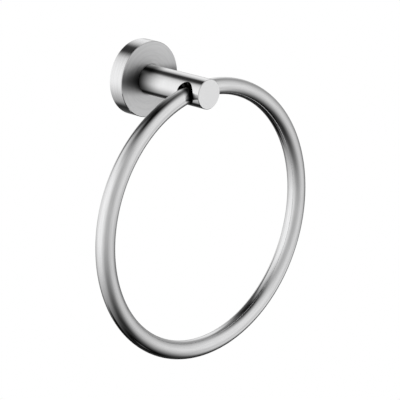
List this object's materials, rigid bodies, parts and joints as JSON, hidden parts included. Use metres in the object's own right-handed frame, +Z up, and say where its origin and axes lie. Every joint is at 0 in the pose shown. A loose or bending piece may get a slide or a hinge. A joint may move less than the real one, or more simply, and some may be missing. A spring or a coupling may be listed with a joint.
{
  "type": "towel ring",
  "caption": "Wall-mounted towel ring: a closed ring of round bar through a cross hole in a round post, on a round flange with hidden screws.",
  "frame": {"origin": "centre of the wall face, on the post's axis", "axes": "+Y into the wall, so the post points along -Y; +Z up, so the ring hangs towards -Z; +X to the right of a viewer who faces the wall"},
  "size_m": [0.184, 0.0635, 0.2024],
  "materials": {
    "flange_steel": "brushed in circles round the post",
    "post_steel": "brushed round its axis",
    "ring_steel": "brushed along and round the bar",
    "plated_steel": "zinc plated",
    "screw_steel": "plain hardened steel"
  },
  "bodies": {
    "root": {"flange": "flange_steel", "wall_plate": "plated_steel", "flange_screw": "screw_steel", "post": "post_steel", "post_bolt": "screw_steel", "lock_washer": "plated_steel", "ring": "ring_steel", "ring_pin": "screw_steel", "pin_screw": "screw_steel"}
  },
  "joints": []
}
